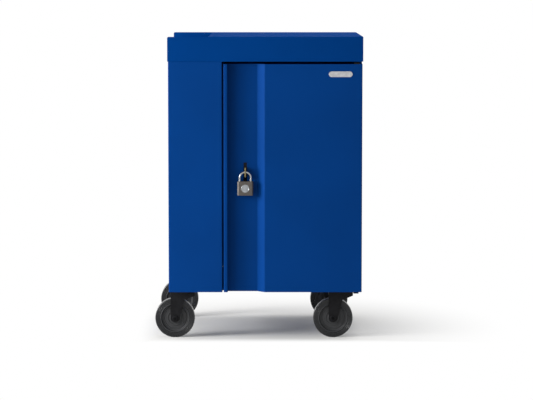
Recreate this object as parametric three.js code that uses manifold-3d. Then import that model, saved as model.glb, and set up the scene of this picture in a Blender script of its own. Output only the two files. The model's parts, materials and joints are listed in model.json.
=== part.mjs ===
// Laptop charging cart: a folded sheet-steel cabinet on four swivel casters, with a pivoting front
// door and its padlock, a bay of upright laptop slots on two levels, and a power bay behind a narrow
// fixed front panel that is reached through a rear door.
// Millimetres, +Z up, the front faces -Y. The origin is on the floor under the middle of the whole cart.

import * as THREE from 'three';
import { mergeVertices } from 'three/addons/utils/BufferGeometryUtils.js';
import Module from 'manifold-3d';

const wasm = await Module();
wasm.setup();

// Sheet metal and fits
const SHEET = 2;
const BEND_RADIUS = 0.8;
const BEND_STEPS = 3;
const FIT_GAP = 0.3;
const RUN_GAP = 0.5;
const PIN_SIDES = 16;
const MERGE_DISTANCE = 1e-4;

// Cabinet body and lid
const BODY_WIDTH = 615;
const BODY_DEPTH = 566;
const BODY_HEIGHT = 734.5;
const BODY_LIFT = 154.5;
const LID_OVERHANG = 2;
const LID_HEIGHT = 78;
const LID_LIP = 14;
const LID_CORNER = 5;
const RECESS_WIDTH = 129.5;
const RECESS_DEPTH = 70;
const LEFT_FRONT_WIDTH = 171;
const PANEL_RETURN = 30;
const REAR_LIP_LEFT = 7.5;
const REAR_LIP_RIGHT = 17.5;
const RIGHT_FRONT_FLANGE = 20.5;
const REAR_FLANGE = 18;

// Push handle inside the lid recess
const HANDLE_DIAMETER = 22;
const HANDLE_DROP = 30;
const HANDLE_INSET = 26;

// Front door
const DOOR_SIDE_GAP = 4.5;
const DOOR_TOP_GAP = 8;
const DOOR_DEPTH = 32;
const DOOR_STRIP = 12.5;
const CHANNEL_WIDTH = 94.5;
const CHANNEL_DEPTH = 26;
const CHANNEL_SLOPE = 23;
const DOOR_BACK_LIP = 14;
const PIVOT_INSET_SIDE = 18;
const PIVOT_INSET_FRONT = 8;
const PIVOT_PIN_DIAMETER = 10;
const PIVOT_PIN_GRIP = 12;
const PIVOT_PLATE_WIDTH = 34;
const SWING_GAP = 4;
const BRACKET_WIDTH = 16;
const BRACKET_THICKNESS = 4;
const BRACKET_TAB = 34;

// Name plate, left blank
const PLATE_WIDTH = 75;
const PLATE_HEIGHT = 18;
const PLATE_THICKNESS = 1.4;
const PLATE_INSET_RIGHT = 69;
const PLATE_INSET_TOP = 32;
const ARC_STEPS = 8;

// Hasp, padlock and the tongue that the hasp meets
const HASP_INSET = 56;
const HASP_THICKNESS = 4;
const HASP_REACH = 22;
const HASP_HEIGHT = 30;
const HASP_BASE_WIDTH = 34;
const HASP_BASE_HEIGHT = 52;
const HASP_HOLE = 9.5;
const SLOT_WIDTH = 11;
const SLOT_HEIGHT = 72;
const SHACKLE_RISE = 21.5;
const SHACKLE_WIDTH = 42;
const SHACKLE_DIAMETER = 6.4;
const SHACKLE_SIDES = 10;
const SHACKLE_STEPS = 20;
const SHACKLE_OFFSET = 14;
const SHACKLE_CLEAR_HEIGHT = 32;
const SHACKLE_HEEL = 30;
const SHACKLE_TOE = 9;
const LOCK_WIDTH = 50;
const LOCK_HEIGHT = 45;
const LOCK_THICKNESS = 21;
const LOCK_EDGE = 4;
const LOCK_DISC_DIAMETER = 25;
const LOCK_DISC_THICKNESS = 1.2;
const KEY_PLUG_DIAMETER = 13;
const KEY_PLUG_DEPTH = 16;
const KEY_SLOT_LENGTH = 8;
const KEY_SLOT_WIDTH = 2;
const KEY_SLOT_DEPTH = 10;
const TONGUE_HEIGHT = 12;
const TONGUE_PROUD = 2.5;
const TONGUE_BASE_WIDTH = 30;
const TONGUE_BASE_HEIGHT = 22;

// Inside of the cabinet
const BASE_HEIGHT = 161;
const PARTITION_GAP = 3.5;
const PARTITION_FLANGE = 15;
const CABLE_GAP = 60;
const SHELF_HEIGHT = 519;
const SHELF_DEPTH = 438;
const SHELF_FLANGE = 28;
const SLOTS_PER_LEVEL = 7;
const DIVIDER_LENGTH = 315;
const DIVIDER_HEIGHT = 200;
const DIVIDER_SETBACK = 14;
const DIVIDER_CORNER = 60;
const CATCH_WIDTH = 36;
const CATCH_LENGTH = 34;
const CATCH_HEIGHT = 50;
const CATCH_NOSE_WIDTH = 18;
const CATCH_DROP = 40;
const STRIP_THICKNESS = 45;
const STRIP_DEPTH = 60;
const STRIP_LENGTH = 600;
const STRIP_LIFT = 66;
const STRIP_SETBACK = 100;
const ADAPTER_SHELF_WIDTH = 118;
const ADAPTER_SHELF_DEPTH = 250;
const ADAPTER_SHELF_LIP = 22;
const ADAPTER_SHELF_SETBACK = 40;
const ADAPTER_SHELF_HEIGHTS = { lower: 380, upper: 620 };

// Power inlet module on the rear panel
const INLET_INSET = 62;
const INLET_LIFT = 90;
const INLET_WIDTH = 48;
const INLET_HEIGHT = 72;
const INLET_DEPTH = 36;
const INLET_FLANGE = 5;
const INLET_FLANGE_THICKNESS = 2.4;
const SOCKET_WIDTH = 26;
const SOCKET_HEIGHT = 19;
const SOCKET_DEPTH = 17;
const SOCKET_DROP = 17;
const INLET_PIN_WIDTH = 2;
const INLET_PIN_HEIGHT = 4;
const INLET_PIN_LENGTH = 12;
const INLET_PIN_SPREAD = 7;
const SWITCH_WIDTH = 22;
const SWITCH_HEIGHT = 28;
const SWITCH_RISE = 16;
const SWITCH_WELL = 8;
const SWITCH_PIVOT_DEPTH = 2;
const SWITCH_BODY = 2;
const SWITCH_CREST = 3.4;
const SWITCH_VALLEY = 1;
const SWITCH_TILT_DEG = 8;

// Rear panel vents, rear door, its hinge and its lock
const VENT_ROWS = 2;
const VENTS_PER_ROW = 7;
const VENT_WIDTH = 3.4;
const VENT_LENGTH = 70;
const VENT_PITCH = 16;
const VENT_ROW_PITCH = 430;
const REAR_HINGE_DIAMETER = 6;
const REAR_HINGE_LENGTH = 620;
const REAR_HINGE_LEAF = 7;
const REAR_HINGE_LEAF_THICKNESS = 1.4;
const REAR_DOOR_GAP = 3;
const REAR_LOCK_DIAMETER = 18;
const REAR_LOCK_INSET = 14;
const REAR_LOCK_PROUD = 2;
const REAR_LOCK_HEIGHT = 520;
const REAR_CAM_WIDTH = 12;
const REAR_CAM_REACH = 34;
const REAR_CAM_THICKNESS = 3;

// Casters
const CASTER_INSET_SIDE = 53.5;
const CASTER_INSET_FRONT = 74;
const CASTER_INSET_REAR = 55;
const CASTER_TRAIL = 36;
const CASTER_PLATE_LENGTH = 64;
const CASTER_PLATE_WIDTH = 58;
const CASTER_PLATE_THICKNESS = 3;
const RACE_DIAMETER = 50;
const RACE_HEIGHT = 9;
const CROWN_DIAMETER = 56;
const CROWN_THICKNESS = 5;
const FORK_LEG_THICKNESS = 3;
const FORK_SKIRT = 8;
const FORK_BACK = 14;
const FORK_TOE = 15;
const FORK_WAIST = 30;
const FORK_WAIST_RISE = 58;
const WHEEL_DIAMETER = 127;
const WHEEL_WIDTH = 32;
const WHEEL_SIDES = 32;
const TYRE_DEPTH = 15;
const TYRE_SHOULDER = 5;
const CORE_WEB = 14;
const CORE_RIM = 7;
const HUB_DIAMETER = 30;
const HUB_CLEAR = 1.5;
const AXLE_DIAMETER = 10;
const AXLE_HEAD_DIAMETER = 16;
const AXLE_HEAD_HEIGHT = 5;

// Planes that several pieces share
const SIDE = BODY_WIDTH / 2;
const FRONT = -BODY_DEPTH / 2;
const REAR = BODY_DEPTH / 2;
const BODY_TOP = BODY_LIFT + BODY_HEIGHT;
const LID_SIDE = SIDE + LID_OVERHANG;
const LID_REAR = REAR + LID_OVERHANG;
const LID_TOP = BODY_TOP + LID_HEIGHT;
const FLOOR_TOP = BASE_HEIGHT + SHEET;
const INNER_SIDE = SIDE - SHEET;
const REAR_FACE = REAR - SHEET - FIT_GAP;
const PANEL_EDGE = LEFT_FRONT_WIDTH - SIDE;
const PARTITION_LEFT = PANEL_EDGE + PARTITION_GAP - SHEET;
const PARTITION_RIGHT = PARTITION_LEFT + SHEET;
const DOOR_LEFT = PANEL_EDGE + DOOR_SIDE_GAP;
const DOOR_RIGHT = SIDE;
const DOOR_TOP = BODY_TOP - DOOR_TOP_GAP;
const DOOR_BACK = FRONT + DOOR_DEPTH;
const PIVOT_X = DOOR_RIGHT - PIVOT_INSET_SIDE;
const PIVOT_Y = FRONT + PIVOT_INSET_FRONT;
const SWING_RADIUS = Math.hypot(PIVOT_INSET_SIDE, DOOR_DEPTH - PIVOT_INSET_FRONT);
const FRAME_FRONT = PIVOT_Y + SWING_RADIUS + SWING_GAP;
const INNER_FRONT = FRAME_FRONT + SHEET + FIT_GAP;
const CHANNEL_LEFT = DOOR_LEFT + DOOR_STRIP;
const CHANNEL_FLOOR = FRONT + CHANNEL_DEPTH;
const CHANNEL_BACK = CHANNEL_FLOOR + SHEET;
const HASP_X = CHANNEL_LEFT + HASP_INSET;
const SHACKLE_Y = CHANNEL_FLOOR - SHACKLE_OFFSET;
const SHACKLE_RADIUS = (SHACKLE_WIDTH - SHACKLE_DIAMETER) / 2;
const SHACKLE_TOP = SHELF_HEIGHT + SHACKLE_RISE;
const CROWN_Z = SHACKLE_TOP - SHACKLE_DIAMETER / 2;
const LOCK_TOP = SHACKLE_TOP - SHACKLE_CLEAR_HEIGHT;
const WHEEL_RADIUS = WHEEL_DIAMETER / 2;
const SWIVEL_X = SIDE - CASTER_INSET_SIDE;

// The casters trail to the left, so the middle of the whole cart is left of the cabinet's middle.
const CART_SHIFT = (SWIVEL_X + CASTER_TRAIL + WHEEL_RADIUS - LID_SIDE) / 2;

const cart = new THREE.Group();
cart.position.x = CART_SHIFT;
const group = new THREE.Group();
group.add(cart);

// Finishes, one new material for each piece
const finish = (color, roughness, metalness) =>
  new THREE.MeshStandardMaterial({ color, roughness, metalness });
const bluePaint = () => finish(0x083f80, 0.45, 0.1);
const darkSteel = () => finish(0x2b2c2e, 0.5, 0.6);
const zincSteel = () => finish(0x9a9c9e, 0.35, 0.9);
const chrome = () => finish(0xb9bbbd, 0.2, 1);
const brassFinish = () => finish(0x78704f, 0.35, 0.9);
const blackPlastic = () => finish(0x1c1d1f, 0.55, 0);
const greyPlastic = () => finish(0x3a3b3d, 0.6, 0);
const tyreRubber = () => finish(0x343537, 0.8, 0);
const whitePaint = () => finish(0xc9ccd0, 0.4, 0.1);

function addPart(name, geometry, material, parent = cart) {
  const mesh = new THREE.Mesh(geometry, material);
  mesh.name = name;
  parent.add(mesh);
  return mesh;
}

// Joins and cuts
function solidOf(geometry) {
  const bare = geometry.clone();
  bare.deleteAttribute('normal');
  bare.deleteAttribute('uv');
  const merged = mergeVertices(bare, MERGE_DISTANCE);
  return new wasm.Manifold(new wasm.Mesh({
    numProp: 3,
    vertProperties: new Float32Array(merged.attributes.position.array),
    triVerts: new Uint32Array(merged.index.array),
  }));
}

function geometryOf(solid) {
  const { vertProperties, triVerts } = solid.getMesh();
  const geometry = new THREE.BufferGeometry();
  geometry.setAttribute('position', new THREE.BufferAttribute(new Float32Array(vertProperties), 3));
  geometry.setIndex(new THREE.BufferAttribute(new Uint32Array(triVerts), 1));
  return geometry;
}

function join(first, ...others) {
  return geometryOf(others.reduce((solid, other) => solid.add(solidOf(other)), solidOf(first)));
}

function cut(first, ...tools) {
  return geometryOf(tools.reduce((solid, tool) => solid.subtract(solidOf(tool)), solidOf(first)));
}

// Basic shapes: a box between two corners, a round bar along an axis, an outline raised along an axis
function block([x0, x1], [y0, y1], [z0, z1]) {
  const geometry = new THREE.BoxGeometry(x1 - x0, y1 - y0, z1 - z0);
  return geometry.translate((x0 + x1) / 2, (y0 + y1) / 2, (z0 + z1) / 2);
}

const around = (middle, size) => [middle - size / 2, middle + size / 2];

function roundBar(diameter, axis, [from, to], sides = PIN_SIDES) {
  const bar = new THREE.CylinderGeometry(diameter / 2, diameter / 2, to - from, sides);
  if (axis === 'x') bar.rotateZ(-Math.PI / 2);
  if (axis === 'z') bar.rotateX(Math.PI / 2);
  const middle = (from + to) / 2;
  return bar.translate(axis === 'x' ? middle : 0, axis === 'y' ? middle : 0, axis === 'z' ? middle : 0);
}

function raise(shape, [z0, z1]) {
  const options = { depth: z1 - z0, bevelEnabled: false, curveSegments: ARC_STEPS };
  return new THREE.ExtrudeGeometry(shape, options).translate(0, 0, z0);
}

// An outline drawn with its x along Y and its y along Z, raised along X
const raiseAlongX = (shape, range) => raise(shape, range).rotateX(Math.PI / 2).rotateZ(Math.PI / 2);

// An outline drawn with its x along X and its y along Z, raised along Y
const raiseAlongY = (shape, [y0, y1]) => raise(shape, [-y1, -y0]).rotateX(Math.PI / 2);

// A bore as wide as its pin wants: the flats of the faceted bore clear the pin's corners
const boreFor = (pinDiameter, gap) => (pinDiameter + 2 * gap) / Math.cos(Math.PI / PIN_SIDES);

// The section of a folded sheet: the points are its outer face, and the sheet lies to their left
function foldedSheet(points, thickness = SHEET) {
  const corners = points.map(([x, y]) => new THREE.Vector2(x, y));
  const along = corners.slice(1).map((corner, i) => corner.clone().sub(corners[i]).normalize());
  const leftOf = along.map((d) => new THREE.Vector2(-d.y, d.x));
  const face = (offset) => {
    const line = [corners[0].clone().addScaledVector(leftOf[0], offset)];
    for (let i = 1; i < corners.length - 1; i += 1) {
      const turn = along[i - 1].cross(along[i]);
      const centreOffset = turn > 0 ? thickness + BEND_RADIUS : -BEND_RADIUS;
      const angle = Math.acos(THREE.MathUtils.clamp(along[i - 1].dot(along[i]), -1, 1)) * Math.sign(turn);
      const back = Math.abs(centreOffset) * Math.tan(Math.abs(angle) / 2);
      const centre = corners[i].clone().addScaledVector(along[i - 1], -back)
        .addScaledVector(leftOf[i - 1], centreOffset);
      const spoke = leftOf[i - 1].clone().multiplyScalar(offset - centreOffset);
      for (let step = 0; step <= BEND_STEPS; step += 1) {
        const swing = (angle * step) / BEND_STEPS;
        line.push(spoke.clone().rotateAround(new THREE.Vector2(), swing).add(centre));
      }
    }
    line.push(corners.at(-1).clone().addScaledVector(leftOf.at(-1), offset));
    return line;
  };
  return new THREE.Shape([...face(0), ...face(thickness).reverse()]);
}

// Cabinet panels
function buildPanels() {
  const height = [BODY_LIFT, BODY_TOP];
  const left = foldedSheet([
    [REAR_LIP_LEFT - SIDE, REAR],
    [-SIDE, REAR],
    [-SIDE, FRONT],
    [PANEL_EDGE, FRONT],
    [PANEL_EDGE, FRONT + PANEL_RETURN],
  ]);
  addPart('left_panel', raise(left, height), bluePaint());

  const right = foldedSheet([
    [SIDE - RIGHT_FRONT_FLANGE, FRAME_FRONT],
    [SIDE, FRAME_FRONT],
    [SIDE, REAR],
    [SIDE - REAR_LIP_RIGHT, REAR],
  ]);
  addPart('right_panel', raise(right, height), bluePaint());

  const floorSide = INNER_SIDE - FIT_GAP;
  const frontSkirt = SWIVEL_X - CASTER_PLATE_LENGTH / 2 - RUN_GAP;
  const skirt = [BODY_LIFT, FLOOR_TOP];
  const base = join(
    block([-floorSide, floorSide], [INNER_FRONT, REAR_FACE], [BASE_HEIGHT, FLOOR_TOP]),
    block([-floorSide, PANEL_EDGE - SHEET - FIT_GAP], [FRONT + SHEET + FIT_GAP, INNER_FRONT],
      [BASE_HEIGHT, FLOOR_TOP]),
    block([-floorSide, floorSide], [REAR_FACE - SHEET, REAR_FACE], skirt),
    block([-frontSkirt, frontSkirt], [INNER_FRONT, INNER_FRONT + SHEET], skirt),
  );
  addPart('base_pan', base, bluePaint());

  const partition = join(
    block([PARTITION_LEFT, PARTITION_RIGHT], [FRAME_FRONT, REAR_FACE - CABLE_GAP], [FLOOR_TOP, BODY_TOP]),
    block([PARTITION_LEFT - PARTITION_FLANGE, PARTITION_LEFT], [INNER_FRONT, REAR_FACE - CABLE_GAP],
      [FLOOR_TOP, FLOOR_TOP + SHEET]),
  );
  addPart('partition_wall', partition, bluePaint());
}

// The lid: a shallow tray turned upside down, with an open-sided recess for the push handle at its left
function buildLid() {
  const wallSide = LID_SIDE - SHEET;
  const wallRear = LID_REAR - SHEET;
  const recessRight = RECESS_WIDTH - LID_SIDE;
  const recessFloor = LID_TOP - RECESS_DEPTH;
  const across = [-LID_SIDE, LID_SIDE];
  const between = [-wallRear, wallRear];
  const deep = [-LID_REAR, LID_REAR];
  const full = [BODY_TOP, LID_TOP];
  const lip = [BODY_TOP, BODY_TOP + SHEET];
  const wall = new THREE.Shape();
  wall.moveTo(-LID_SIDE, BODY_TOP);
  wall.lineTo(LID_SIDE, BODY_TOP);
  wall.lineTo(LID_SIDE, LID_TOP);
  wall.lineTo(LID_CORNER - LID_SIDE, LID_TOP);
  wall.absarc(LID_CORNER - LID_SIDE, LID_TOP - LID_CORNER, LID_CORNER, Math.PI / 2, Math.PI);
  const lid = join(
    block([recessRight, LID_SIDE], deep, [LID_TOP - SHEET, LID_TOP]),
    raiseAlongY(wall, [-LID_REAR, -wallRear]),
    raiseAlongY(wall, [wallRear, LID_REAR]),
    block([wallSide, LID_SIDE], deep, full),
    block([recessRight, recessRight + SHEET], between, [recessFloor - SHEET, LID_TOP]),
    block([-LID_SIDE, recessRight + SHEET], between, [recessFloor - SHEET, recessFloor]),
    block([-LID_SIDE, -wallSide], deep, [BODY_TOP, recessFloor]),
    block(across, [-wallRear, LID_LIP - wallRear], lip),
    block(across, [wallRear - LID_LIP, wallRear], lip),
    block([wallSide - LID_LIP, wallSide], between, lip),
    block([-wallSide, LID_LIP - wallSide], between, lip),
  );
  addPart('top_lid', lid, bluePaint());

  const reach = wallRear - FIT_GAP;
  const handle = roundBar(HANDLE_DIAMETER, 'y', [-reach, reach]);
  handle.translate(HANDLE_INSET - LID_SIDE, 0, LID_TOP - HANDLE_DROP);
  addPart('push_handle', handle, blackPlastic());
}

// The front door: one folded sheet with a grip channel, closed round its pivots by two small plates
function buildFrontDoor(parent) {
  const section = foldedSheet([
    [DOOR_LEFT, DOOR_BACK],
    [DOOR_LEFT, FRONT],
    [CHANNEL_LEFT, FRONT],
    [CHANNEL_LEFT, CHANNEL_FLOOR],
    [CHANNEL_LEFT + CHANNEL_WIDTH, CHANNEL_FLOOR],
    [CHANNEL_LEFT + CHANNEL_WIDTH + CHANNEL_SLOPE, FRONT],
    [DOOR_RIGHT, FRONT],
    [DOOR_RIGHT, DOOR_BACK],
    [DOOR_RIGHT - DOOR_BACK_LIP, DOOR_BACK],
  ]);
  const plateX = [DOOR_RIGHT - PIVOT_PLATE_WIDTH, DOOR_RIGHT - SHEET / 2];
  const plateY = [FRONT + SHEET / 2, DOOR_BACK - SHEET / 2];
  const bore = boreFor(PIVOT_PIN_DIAMETER, FIT_GAP);
  const body = join(
    raise(section, [BODY_LIFT, DOOR_TOP]),
    block(plateX, plateY, [BODY_LIFT, BODY_LIFT + SHEET]),
    block(plateX, plateY, [DOOR_TOP - SHEET, DOOR_TOP]),
  );
  const door = cut(
    body,
    roundBar(bore, 'z', [BODY_LIFT - SHEET, BODY_LIFT + 2 * SHEET]).translate(PIVOT_X, PIVOT_Y, 0),
    roundBar(bore, 'z', [DOOR_TOP - 2 * SHEET, DOOR_TOP + SHEET]).translate(PIVOT_X, PIVOT_Y, 0),
    block(around(HASP_X, SLOT_WIDTH), [CHANNEL_FLOOR - SHEET, CHANNEL_BACK + SHEET],
      [CROWN_Z + HASP_HEIGHT - SLOT_HEIGHT, CROWN_Z + HASP_HEIGHT]),
  );
  addPart('front_door', door, bluePaint(), parent);

  const radius = PLATE_HEIGHT / 2;
  const half = PLATE_WIDTH / 2 - radius;
  const pill = new THREE.Shape();
  pill.absarc(half, 0, radius, -Math.PI / 2, Math.PI / 2);
  pill.absarc(-half, 0, radius, Math.PI / 2, (3 * Math.PI) / 2);
  const plate = raiseAlongY(pill, [FRONT - PLATE_THICKNESS, FRONT]);
  plate.translate(DOOR_RIGHT - PLATE_INSET_RIGHT, 0, DOOR_TOP - PLATE_INSET_TOP);
  addPart('name_plate', plate, whitePaint(), parent);

  // The shackle hangs on the lower edge of the hole.
  const holeFlat = (HASP_HOLE / 2) * Math.cos(Math.PI / PIN_SIDES);
  const holeZ = CROWN_Z + holeFlat - SHACKLE_DIAMETER / 2 - FIT_GAP;
  const eye = cut(
    join(
      block(around(HASP_X, HASP_THICKNESS), [CHANNEL_FLOOR - HASP_REACH, CHANNEL_BACK + SHEET],
        around(CROWN_Z, HASP_HEIGHT)),
      block(around(HASP_X, HASP_BASE_WIDTH), [CHANNEL_BACK, CHANNEL_BACK + SHEET],
        [CROWN_Z - HASP_HEIGHT / 2, CROWN_Z - HASP_HEIGHT / 2 + HASP_BASE_HEIGHT]),
    ),
    roundBar(HASP_HOLE, 'x', around(HASP_X, 2 * HASP_THICKNESS)).translate(0, SHACKLE_Y, holeZ),
  );
  addPart('hasp_eye', eye, brassFinish(), parent);
}

// The two pivots: a flat bar over and under the door, its pin, and a tab on the right panel's flange
function buildHinge(name, barFace, outward) {
  const reach = [PIVOT_Y - BRACKET_WIDTH / 2, FRAME_FRONT];
  const width = around(PIVOT_X, BRACKET_WIDTH);
  const span = (a, b) => [Math.min(a, b), Math.max(a, b)];
  const bar = barFace + outward * BRACKET_THICKNESS;
  const bracket = join(
    block(width, reach, span(barFace, bar)),
    block(width, [FRAME_FRONT - SHEET, FRAME_FRONT], span(bar, barFace - outward * BRACKET_TAB)),
    roundBar(PIVOT_PIN_DIAMETER, 'z', span(bar, barFace - outward * PIVOT_PIN_GRIP))
      .translate(PIVOT_X, PIVOT_Y, 0),
  );
  addPart(name, bracket, darkSteel());
}

// Padlock: shackle, body, plain face disc and the key plug in its underside
class ShackleCurve extends THREE.Curve {
  constructor() {
    super();
    this.arcCentre = CROWN_Z - SHACKLE_RADIUS;
    this.heel = this.arcCentre - LOCK_TOP + SHACKLE_HEEL;
    this.toe = this.arcCentre - LOCK_TOP + SHACKLE_TOE;
    this.arc = Math.PI * SHACKLE_RADIUS;
    this.total = this.heel + this.arc + this.toe;
  }

  getPoint(t, target = new THREE.Vector3()) {
    const run = t * this.total;
    const turn = THREE.MathUtils.clamp((run - this.heel) / SHACKLE_RADIUS, 0, Math.PI);
    const below = Math.max(this.heel - run, run - this.heel - this.arc, 0);
    return target.set(
      HASP_X - SHACKLE_RADIUS * Math.cos(turn),
      SHACKLE_Y,
      this.arcCentre + SHACKLE_RADIUS * Math.sin(turn) - below,
    );
  }
}

function buildPadlock(shackleParent, bodyParent, plugParent) {
  const round = new THREE.Shape();
  round.absarc(0, 0, SHACKLE_DIAMETER / 2, 0, 2 * Math.PI);
  const shackle = new THREE.ExtrudeGeometry(round, {
    extrudePath: new ShackleCurve(),
    steps: SHACKLE_STEPS,
    curveSegments: SHACKLE_SIDES,
    bevelEnabled: false,
  });
  addPart('padlock_shackle', shackle, chrome(), shackleParent);

  const bottom = LOCK_TOP - LOCK_HEIGHT;
  const [x0, x1] = around(HASP_X, LOCK_WIDTH);
  const [y0, y1] = around(SHACKLE_Y, LOCK_THICKNESS);
  const section = new THREE.Shape([
    [x0 + LOCK_EDGE, y0], [x1 - LOCK_EDGE, y0], [x1, y0 + LOCK_EDGE], [x1, y1 - LOCK_EDGE],
    [x1 - LOCK_EDGE, y1], [x0 + LOCK_EDGE, y1], [x0, y1 - LOCK_EDGE], [x0, y0 + LOCK_EDGE],
  ].map(([x, y]) => new THREE.Vector2(x, y)));
  const legBore = boreFor(SHACKLE_DIAMETER, RUN_GAP);
  const legHole = (side, depth) =>
    roundBar(legBore, 'z', [LOCK_TOP - depth - RUN_GAP, LOCK_TOP + SHACKLE_DIAMETER])
      .translate(HASP_X + side * SHACKLE_RADIUS, SHACKLE_Y, 0);
  const plugBore = roundBar(boreFor(KEY_PLUG_DIAMETER, FIT_GAP), 'z',
    [bottom - KEY_PLUG_DEPTH, bottom + KEY_PLUG_DEPTH + FIT_GAP]).translate(HASP_X, SHACKLE_Y, 0);
  const body = cut(
    raise(section, [bottom, LOCK_TOP]),
    legHole(-1, SHACKLE_HEEL),
    legHole(1, SHACKLE_TOE),
    plugBore,
  );
  addPart('padlock_body', body, zincSteel(), bodyParent);

  const disc = roundBar(LOCK_DISC_DIAMETER, 'y', [y0 - LOCK_DISC_THICKNESS, y0], WHEEL_SIDES);
  disc.translate(HASP_X, 0, bottom + LOCK_HEIGHT / 2);
  addPart('padlock_disc', disc, chrome(), bodyParent);

  const keySlotZ = [bottom - KEY_SLOT_DEPTH, bottom + KEY_SLOT_DEPTH];
  const plug = cut(
    roundBar(KEY_PLUG_DIAMETER, 'z', [bottom, bottom + KEY_PLUG_DEPTH]),
    block(around(0, KEY_SLOT_LENGTH), around(0, KEY_SLOT_WIDTH), keySlotZ),
  );
  plug.translate(HASP_X, SHACKLE_Y, 0);
  addPart('padlock_key_plug', plug, brassFinish(), plugParent);
}

// Shelf, the fixed tongue on its edge, the slot dividers of both levels, and the magnetic door catch
function buildDeviceBay() {
  const bay = [PARTITION_RIGHT + FIT_GAP, INNER_SIDE - FIT_GAP];
  const shelf = join(
    block(bay, [INNER_FRONT, INNER_FRONT + SHELF_DEPTH], [SHELF_HEIGHT - SHEET, SHELF_HEIGHT]),
    block(bay, [INNER_FRONT, INNER_FRONT + SHEET], [SHELF_HEIGHT - SHELF_FLANGE, SHELF_HEIGHT]),
  );
  addPart('middle_shelf', shelf, bluePaint());

  const tongueZ = around(SHELF_HEIGHT - SHELF_FLANGE / 2, TONGUE_HEIGHT);
  const tongue = join(
    block(around(HASP_X, HASP_THICKNESS), [CHANNEL_FLOOR - TONGUE_PROUD, INNER_FRONT], tongueZ),
    block(around(HASP_X, TONGUE_BASE_WIDTH), [INNER_FRONT - SHEET, INNER_FRONT],
      around(SHELF_HEIGHT - SHELF_FLANGE / 2, TONGUE_BASE_HEIGHT)),
  );
  addPart('lock_tongue', tongue, zincSteel());

  const outline = new THREE.Shape();
  const dividerFront = INNER_FRONT + DIVIDER_SETBACK;
  const dividerBack = dividerFront + DIVIDER_LENGTH;
  outline.moveTo(dividerFront, 0);
  outline.lineTo(dividerBack, 0);
  outline.lineTo(dividerBack, DIVIDER_HEIGHT);
  outline.lineTo(dividerFront + DIVIDER_CORNER, DIVIDER_HEIGHT);
  outline.absarc(dividerFront + DIVIDER_CORNER, DIVIDER_HEIGHT - DIVIDER_CORNER, DIVIDER_CORNER,
    Math.PI / 2, Math.PI);
  const pitch = (INNER_SIDE - PARTITION_RIGHT) / SLOTS_PER_LEVEL;
  const levels = { lower: FLOOR_TOP, upper: SHELF_HEIGHT };
  for (const [level, height] of Object.entries(levels)) {
    for (let i = 1; i < SLOTS_PER_LEVEL; i += 1) {
      const divider = raiseAlongX(outline, around(PARTITION_RIGHT + i * pitch, SHEET));
      addPart(`divider_${level}_${i}`, divider.translate(0, 0, height), bluePaint());
    }
  }

  const catchX = [PARTITION_RIGHT, PARTITION_RIGHT + CATCH_WIDTH];
  const catchZ = [BODY_TOP - CATCH_DROP - CATCH_HEIGHT, BODY_TOP - CATCH_DROP];
  const magnet = join(
    block(catchX, [FRAME_FRONT, FRAME_FRONT + CATCH_LENGTH], catchZ),
    block([catchX[1] - CATCH_NOSE_WIDTH, catchX[1]], [CHANNEL_BACK + FIT_GAP, FRAME_FRONT], catchZ),
  );
  addPart('magnetic_catch', magnet, blackPlastic());
}

// Power bay: outlet strip on the partition and two lipped shelves for power adapters on the left panel
function buildPowerBay() {
  const stripBack = REAR_FACE - CABLE_GAP - STRIP_SETBACK;
  const strip = block(
    [PARTITION_LEFT - STRIP_THICKNESS, PARTITION_LEFT],
    [stripBack - STRIP_DEPTH, stripBack],
    [FLOOR_TOP + STRIP_LIFT, FLOOR_TOP + STRIP_LIFT + STRIP_LENGTH],
  );
  addPart('outlet_strip', strip, greyPlastic());

  const left = FIT_GAP - INNER_SIDE;
  const front = FRAME_FRONT + ADAPTER_SHELF_SETBACK;
  for (const [level, height] of Object.entries(ADAPTER_SHELF_HEIGHTS)) {
    const shelf = foldedSheet([
      [left, height + ADAPTER_SHELF_LIP],
      [left, height],
      [left + ADAPTER_SHELF_WIDTH, height],
      [left + ADAPTER_SHELF_WIDTH, height + ADAPTER_SHELF_LIP],
    ]);
    const along = [front, front + ADAPTER_SHELF_DEPTH];
    addPart(`adapter_shelf_${level}`, raiseAlongY(shelf, along), bluePaint());
  }
}

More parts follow.
